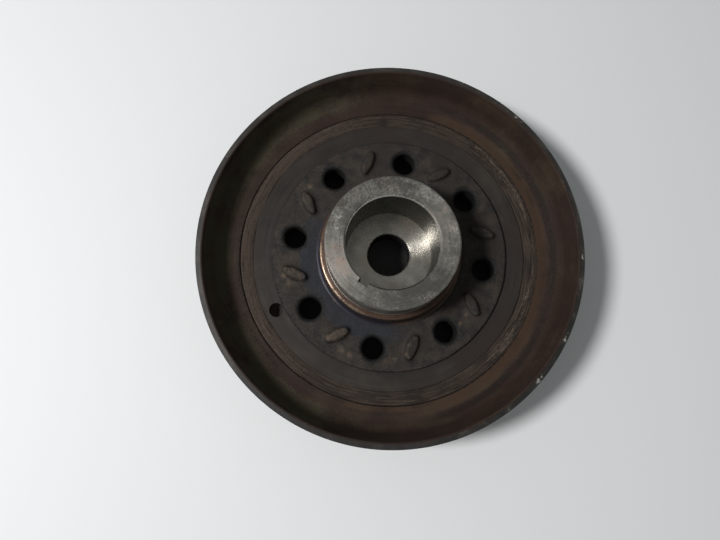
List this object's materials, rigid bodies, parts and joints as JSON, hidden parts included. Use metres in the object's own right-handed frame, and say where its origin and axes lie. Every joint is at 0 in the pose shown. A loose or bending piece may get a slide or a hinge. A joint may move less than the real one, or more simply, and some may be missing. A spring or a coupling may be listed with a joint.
{
  "type": "crankshaft pulley",
  "caption": "Engine crankshaft pulley with a rubber-bonded damper ring, V-grooved belt band, holed web and keyed nose.",
  "frame": {"origin": "on the crank axis, in the plane of the front face that the pulley rests on", "axes": "+Z along the crank axis towards the engine, +X to the right and +Y up in the picture"},
  "size_m": [0.18, 0.18, 0.0494],
  "materials": {
    "hub_iron": "grey iron with machined faces, lightly oiled and rusted",
    "damper_rubber": "matt, dusty",
    "ring_iron": "turned grey iron, satin, with light rust in the trough"
  },
  "bodies": {
    "root": {"hub": "hub_iron", "damping_rubber": "damper_rubber", "pulley_ring": "ring_iron"}
  },
  "joints": []
}
